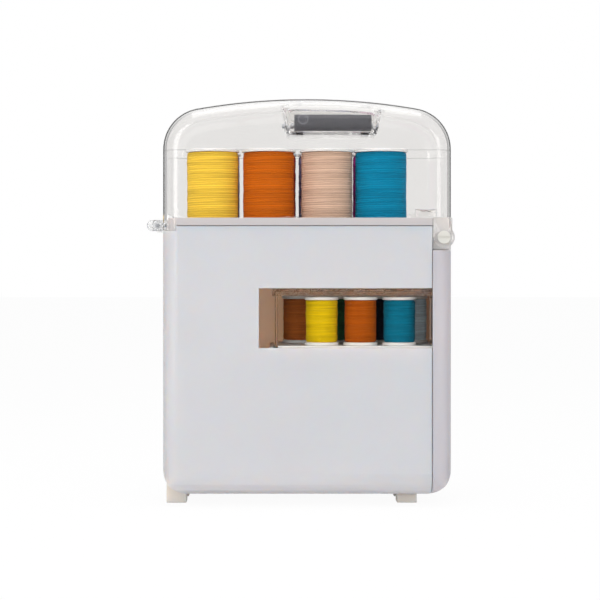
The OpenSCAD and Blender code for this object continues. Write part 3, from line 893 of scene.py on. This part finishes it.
def close_skins(name, outer, inner, quads):
    """One closed mesh of two skins, with strips along every edge that has one face.

    Points that lie together in both skins are joined first, so the poles on the near and far
    walls close. A quad that loses a side becomes a triangle and one that loses two goes. An
    edge has one face if no face runs along it the other way.
    """
    both = np.concatenate([outer, inner], axis=1).round(8)
    _, first, joined = np.unique(both, axis=0, return_index=True, return_inverse=True)
    count = len(first)
    corners = joined.reshape(-1)[quads]
    lost = corners == np.roll(corners, 1, axis=1)
    fours = corners[lost.sum(1) == 0]
    short = lost.sum(1) == 1
    threes = corners[short][~lost[short]].reshape(-1, 3)
    start = np.concatenate([fours.ravel(), threes.ravel()])
    end = np.concatenate([np.roll(fours, -1, axis=1).ravel(), np.roll(threes, -1, axis=1).ravel()])
    alone = ~np.isin(start * count + end, end * count + start)
    a = start[alone]
    b = end[alone]
    faces = np.concatenate([fours, fours[:, ::-1] + count, np.stack([b, a, a + count, b + count], -1)])
    threes = np.concatenate([threes, threes[:, ::-1] + count])
    mesh = bpy.data.meshes.new(name)
    points = np.concatenate([outer[first], inner[first]])
    mesh.from_pydata(points.tolist(), [], faces.tolist() + threes.tolist())
    return add_object(name, mesh, SMOOTH_BELOW)


# %% [markdown]
# ## The lid's shell
#
# Both skins are closed to one moulding, which takes the place of the plain dome on the body that
# the hinge turns. A small bevel softens the cut edges. It comes last, because a bevel on each
# skin alone would leave the edge between them open.

# %% Lid shell
LID_ROUNDING = 0.3 * MM
outer = lid_skin(0.0, POCKET_WALL, pocket_floor + POCKET_WALL)
inner = lid_skin(WALL, 0.0, pocket_floor)
dome = close_skins("lid_shell", outer.reshape(-1, 3), inner.reshape(-1, 3), lid_faces(outer))
soften(dome, LID_ROUNDING)
dome.data.materials.append(clear_lid)
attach(dome, "lid")
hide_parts("lid_dome")
print("lid faces", len(dome.data.polygons))

# %% [markdown]
# ## Rings round an axis
#
# Lugs, ears and bosses all lie round a pin. A ring gives the outline's distance from the axis at
# every angle, and rings at different depths make the faces, the rounded rims, the recess for the
# pin's head and the bore. A bore cut by a boolean would be rougher and slower.


# %% Rings
def ring_points(centre, rings, axis="Y"):
    """Points of rings round an axis, as an array of rings by angle.

    Each ring is its radii by angle and its depth along the axis. At angle a a point lies
    radius * cos(a) and radius * sin(a) from the centre, and at the depth along the axis.
    """
    radii = np.array([r for r, _ in rings])
    angle = np.linspace(0, 2 * np.pi, radii.shape[1], endpoint=False)
    first = centre[0] + radii * np.cos(angle)
    second = centre[1] + radii * np.sin(angle)
    along = np.broadcast_to(np.array([[depth] for _, depth in rings]), radii.shape)
    return np.stack([first, along, second] if axis == "Y" else [along, first, second], -1)


def box_reach(angle, left, right, low, high):
    """Distance from the axis to the sides of a box around it, at each angle.

    It is the lesser of the side's distance over cos(a) and the top's or bottom's over sin(a).
    """
    c = np.cos(angle)
    s = np.sin(angle)
    reach_x = np.where(c > 0, right / np.maximum(c, 1e-9), left / np.minimum(c, -1e-9))
    reach_z = np.where(s > 0, high / np.maximum(s, 1e-9), low / np.minimum(s, -1e-9))
    return np.minimum(np.abs(reach_x), np.abs(reach_z))


# %% [markdown]
# ## Clear parts of the lid
#
# Every one of these parts turns with the lid and has its finish. The far ones are the near ones
# mirrored, which turns a skin inside out, and a clear wall that is inside out bends light the
# wrong way. The volume tells: it comes out negative, and then the faces are flipped.


# %% Lid parts
def mesh_volume(mesh):
    """Volume of a closed mesh, negative where it is inside out.

    It is the sum over the triangles of a . (b x c) / 6, for the triangle's corners a, b and c.
    """
    mesh.calc_loop_triangles()
    corners = np.zeros(len(mesh.vertices) * 3)
    mesh.vertices.foreach_get("co", corners)
    tris = np.zeros(len(mesh.loop_triangles) * 3, dtype=np.int32)
    mesh.loop_triangles.foreach_get("vertices", tris)
    a, b, c = corners.reshape(-1, 3)[tris.reshape(-1, 3)].transpose(1, 0, 2)
    return float(np.einsum("ij,ij->i", a, np.cross(b, c)).sum() / 6)


def add_lid_part(name, mesh):
    """Adds a clear part that moves with the lid, with its faces turned outwards."""
    if mesh_volume(mesh) < 0:
        mesh.flip_normals()
    obj = add_object(name, mesh, SMOOTH_BELOW)
    obj.data.materials.append(clear_lid)
    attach(obj, "lid")


def ring_stack(name, centre, rings, axis="Y"):
    """A lid part whose skin runs over its rings and from the last one back to the first."""
    points = ring_points(centre, rings, axis)
    faces = grid_faces(len(rings) + 1, points.shape[1], True).reshape(-1, 4)
    flat = points.reshape(-1, 3)
    add_lid_part(name, array_mesh(name, flat, faces % len(flat)))


# %% [markdown]
# ## Measures of lugs and ears
#
# The clear lugs hold the hinge pins and the clear ears hold the latch pin. Their axes could be
# typed in, but here they come from the pins' own boxes, so they stay on them if a size changes.

# %% Lug measures
pin_low, pin_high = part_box("hinge_pin_near")
head_radius = (pin_high[0] - pin_low[0]) / 2
pivot = ((pin_low[0] + pin_high[0]) / 2, (pin_low[2] + pin_high[2]) / 2)
latch_low, latch_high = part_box("latch_pin")
latch_axis = ((latch_low[0] + latch_high[0]) / 2, (latch_low[2] + latch_high[2]) / 2)
LUG_RADIUS = lid_high[0] - pivot[0]
LUG_THICKNESS = 4 * MM
PAD_HEIGHT = 5.6 * MM
PAD_LENGTH = 24 * MM
BORE = 3.05 * MM
RIM = 0.5 * MM
FILM = 0.05 * MM
EAR_NOSE = 3.6 * MM
ANGLES = np.linspace(0, 2 * np.pi, 192, endpoint=False)
print("hinge axis", np.round(pivot, 4), "latch axis", np.round(latch_axis, 4))


# %% [markdown]
# ## Plates with and without a bore
#
# A lug and an ear are plates with a bore; the pad inside the lid's wall has none. Both have
# their rims rounded by half a millimetre, which catches the light as the real edges do.


# %% Side plates
RECESS_DEPTH = 1.6 * MM
RIM_CUTS = ((RIM, 0.0), (0.3 * RIM, 0.3 * RIM), (0.0, RIM))


def rim_rings(radii, inner_y, outer_y):
    """Rings of a plate's rounded rim: less radius at both faces, the whole of it between."""
    first = [(radii - cut, inner_y + step) for cut, step in RIM_CUTS]
    return first + [(radii - cut, outer_y - step) for cut, step in RIM_CUTS[::-1]]


def bored_plate(name, centre, radii, bore, recess, inner_y, outer_y, side):
    """A plate on one side of the lid with a bore and perhaps a recess at its outside."""
    rings = [(bore, inner_y)] + rim_rings(radii, inner_y, outer_y)
    if recess is None:
        rings += [(bore, outer_y)]
    else:
        floor_y = outer_y - RECESS_DEPTH
        rings += [(recess, outer_y), (recess, floor_y), (bore, floor_y)]
    ring_stack(name, centre, [(r, side * y) for r, y in rings])


def plain_plate(name, centre, radii, inner_y, outer_y, side):
    """A plate on one side of the lid without a bore: one face closes each end."""
    rings = [(r, side * y) for r, y in rim_rings(radii, inner_y, outer_y)]
    points = ring_points(centre, rings)
    count = len(radii)
    faces = grid_faces(len(rings), count, True).reshape(-1, 4).tolist()
    ends = np.arange(points.size // 3).reshape(-1, count)
    faces += [ends[0, ::-1].tolist(), ends[-1].tolist()]
    mesh = bpy.data.meshes.new(name)
    mesh.from_pydata(points.reshape(-1, 3).tolist(), [], faces)
    add_lid_part(name, mesh)


# %% [markdown]
# ## Lugs, ears and pads
#
# The lug is a disc round the hinge pin that runs up into a neck. The ear has a rounded nose and
# a slot for the latch pin. Both could be drawn as a list of corners, but then a changed size
# would need them drawn again. Here each outline is the greater or lesser of a circle and a box.

# %% Lugs, ears and pads
HEAD_GAP = 0.1 * MM
EAR_REACH = 30 * MM
SLOT_BACK = 2.2 * MM
SLOT_FRONT = 2.4 * MM
SLOT_HALF = 1.27 * MM
EAR_INNER = tab_high[1] + 0.5 * MM
EAR_OUTER = EAR_INNER + LUG_THICKNESS
round_bore = np.full(len(ANGLES), BORE)
head_recess = np.full(len(ANGLES), head_radius + HEAD_GAP)
neck = box_reach(ANGLES, -LUG_RADIUS, right_face - pivot[0], 0.0, lid_base - FILM - pivot[1])
lug = np.where(np.sin(ANGLES) > 0, np.maximum(LUG_RADIUS, neck), LUG_RADIUS)
ear_box = box_reach(ANGLES, -EAR_REACH, left_face - FILM - latch_axis[0], -EAR_NOSE, EAR_NOSE)
nose_centre = lid_low[0] + EAR_NOSE - latch_axis[0]
cosine = np.cos(ANGLES)
nose_reach = nose_centre * cosine + np.sqrt(EAR_NOSE**2 - (nose_centre * np.sin(ANGLES)) ** 2)
ear = np.where(ear_box * cosine < nose_centre, nose_reach, ear_box)
slot = box_reach(ANGLES, -SLOT_BACK, SLOT_FRONT, -SLOT_HALF, SLOT_HALF)
pad_half = (PAD_LENGTH - EDGE_RADIUS) / 2
pad_centre = (right_face - PAD_LENGTH + pad_half, lid_base + PAD_HEIGHT / 2)
pad = box_reach(ANGLES, -pad_half, pad_half, -PAD_HEIGHT / 2, PAD_HEIGHT / 2)
lug_inner = half_width - LUG_THICKNESS
pad_outer = half_width - WALL - FILM
for side, place in ((-1, "near"), (1, "far")):
    bored_plate(f"lid_lug_{place}", pivot, lug, round_bore, head_recess, lug_inner, half_width, side)
    bored_plate(f"lid_ear_{place}", latch_axis, ear, slot, None, EAR_INNER, EAR_OUTER, side)
    plain_plate(f"lid_pad_{place}", pad_centre, pad, lug_inner, pad_outer, side)

# %% [markdown]
# ## Bosses for the handle's pins
#
# Two short round bosses stand in the pocket beside the handle and hold its steel pins. Each is
# a stack of rings from the pocket's wall to just short of the handle, with its rim rounded off.
# A plain cylinder would meet the handle with a sharp edge that no moulding has.

# %% Handle bosses
AROUND_BOSS = 48
BOSS = np.full(AROUND_BOSS, 4 * MM)
CORE = np.full(AROUND_BOSS, 0.05 * MM)
BOSS_ROOT = 1.5 * MM
HANDLE_GAP = 0.4 * MM
pin_from, pin_to = pin_box_left
pin_axis = ((pin_from[1] + pin_to[1]) / 2, (pin_from[2] + pin_to[2]) / 2)
boss_ends = (
    ("left", pocket_left + BOSS_ROOT, handle_low[0] - HANDLE_GAP, 1),
    ("right", pocket_right - BOSS_ROOT, handle_high[0] + HANDLE_GAP, -1),
)
for place, root, end, way in boss_ends:
    rings = [(CORE, root), (BOSS, root), (BOSS, end - way * RIM), (BOSS - RIM, end), (CORE, end)]
    ring_stack(f"lid_boss_{place}", pin_axis, rings, "X")

# %% [markdown]
# ## Floor
#
# The photograph has a pure white ground. A bright lamp on the floor would also wash out the
# object. So the floor is lifted to white wherever the camera, gloss or clear plastic looks at it,
# and only a small share of its own look carries the shadow under the feet. It ends a little in
# front of the object, so the lid's front does not mirror it.


# %% Floor
FLOOR_HALF = 8.0
FLOOR_FRONT = -0.7
WHITE_SHARE = 0.94


def floor_material(name, colour, white_share):
    """A pale floor that keeps shadows, lifted to white for the camera, gloss and glass."""
    t = Tree(bpy.data.materials.new(name))
    t.finish(Roughness=0.8, Base_Color=t.blend(t.noise(3.0, 2.0), scaled(colour, 0.99), colour))
    path = t.add("LightPath")
    seen = t.math("MAXIMUM", path.outputs["Is Camera Ray"], path.outputs["Is Glossy Ray"])
    seen = t.math("MAXIMUM", seen, path.outputs["Is Transmission Ray"])
    white = t.add("Emission", Strength=1.0)
    t.show(t.math("MULTIPLY", seen, white_share), t.shader.outputs[0], white.outputs[0])
    return t.owner


floor_points = np.array(
    [
        [-FLOOR_HALF, FLOOR_FRONT, 0],
        [FLOOR_HALF, FLOOR_FRONT, 0],
        [FLOOR_HALF, FLOOR_HALF, 0],
        [-FLOOR_HALF, FLOOR_HALF, 0],
    ]
)
floor = add_object("floor", array_mesh("floor", floor_points, np.array([[0, 1, 2, 3]])))
floor.data.materials.append(floor_material("floor_white", srgb(252, 252, 252), WHITE_SHARE))
print("floor from", FLOOR_FRONT, "to", FLOOR_HALF)

# %% [markdown]
# ## Surround
#
# All round is an even pale light. The camera, and rays that go straight through clear plastic,
# see it white. Rays that were mirrored see it grey at the sides and dark behind the camera, as in
# a studio, or the lid's front would lay a veil over the thread.


# %% Surround
SKY = (0.985, 0.99, 1.0, 1.0)
SKY_LEVEL = 0.66
ROOM_LEVEL = 0.03
BACK_LEVEL = 0.95
SIDE_LEVEL = 0.45
ROOM_EDGE = (-0.97, -0.80)
SIDE_EDGE = (0.15, 0.75)


def surround(name, level, room):
    """The world: plain pale light, white to the camera and through clear plastic.

    A ray that has been mirrored sees a level that goes from the room's to the back's as its
    way turns from the camera's side, times a level that falls as its way turns sideways.
    """
    t = Tree(bpy.data.worlds.new(name))
    light = t.nodes["Background"]
    t.give(SKY, light.inputs["Color"])
    t.give(level, light.inputs["Strength"])
    way = t.add("SeparateXYZ", Vector=t.add("TexCoord").outputs["Generated"])
    back = t.between(way.outputs["Y"], room, BACK_LEVEL, *ROOM_EDGE)
    side = t.between(t.math("ABSOLUTE", way.outputs["X"]), 1.0, SIDE_LEVEL, *SIDE_EDGE)
    path = t.add("LightPath")
    mirrored = t.math("GREATER_THAN", path.outputs["Glossy Depth"], 0.5)
    shown = t.add("Mix")
    t.give(mirrored, shown.inputs[0])
    t.give(1.0, shown.inputs[2])
    t.give(t.math("MULTIPLY", back, side), shown.inputs[3])
    white = t.add("Background", Color=shown.outputs[0], Strength=1.0)
    seen = t.math("MAXIMUM", path.outputs["Is Camera Ray"], path.outputs["Is Transmission Ray"])
    seen = t.math("MAXIMUM", seen, path.outputs["Is Glossy Ray"])
    t.show(seen, light.outputs[0], white.outputs[0])
    return t.owner


bpy.context.scene.world = surround("studio", SKY_LEVEL, ROOM_LEVEL)
print("world", bpy.context.scene.world.name)

# %% [markdown]
# ## Lamps
#
# Two broad lamps stand in front, the left one stronger, low enough to reach in at the window.
# One above draws the bright band along the lid's top edge. They stand outside the angle at which
# the lid's flat front would mirror them to the camera.


# %% Lamps
def lamp(name, place, aim, size, power, colour):
    """A broad square lamp at a place, aimed at a point."""
    data = bpy.data.lights.new(name, "AREA")
    data.shape = "SQUARE"
    data.size = size
    data.energy = power
    data.color = colour
    obj = bpy.data.objects.new(name, data)
    obj.location = place
    way = np.array(aim) - np.array(place)
    flat = math.hypot(way[0], way[1])
    obj.rotation_euler = (math.atan2(flat, -way[2]), 0, math.atan2(way[1], way[0]) - math.pi / 2)
    bpy.context.collection.objects.link(obj)
    print("lamp", name, power, "W")


BODY = (0, 0, 0.12)
LID = (0, 0, 0.2)
lamp("key", place=(-0.66, -1.4, 0.4), aim=BODY, size=0.75, power=7.3, colour=(1.0, 0.99, 0.98))
lamp("fill", place=(0.68, -1.4, 0.3), aim=BODY, size=0.6, power=3.8, colour=(1.0, 0.985, 0.975))
lamp("top", place=(0, -0.15, 1.1), aim=LID, size=0.8, power=4.6, colour=(1.0, 1.0, 1.0))

# %% [markdown]
# ## Close
#
# The standard view keeps colours about as written, where a filmic one would dull the white case.

# %% Close
bpy.context.scene.view_settings.view_transform = "Standard"
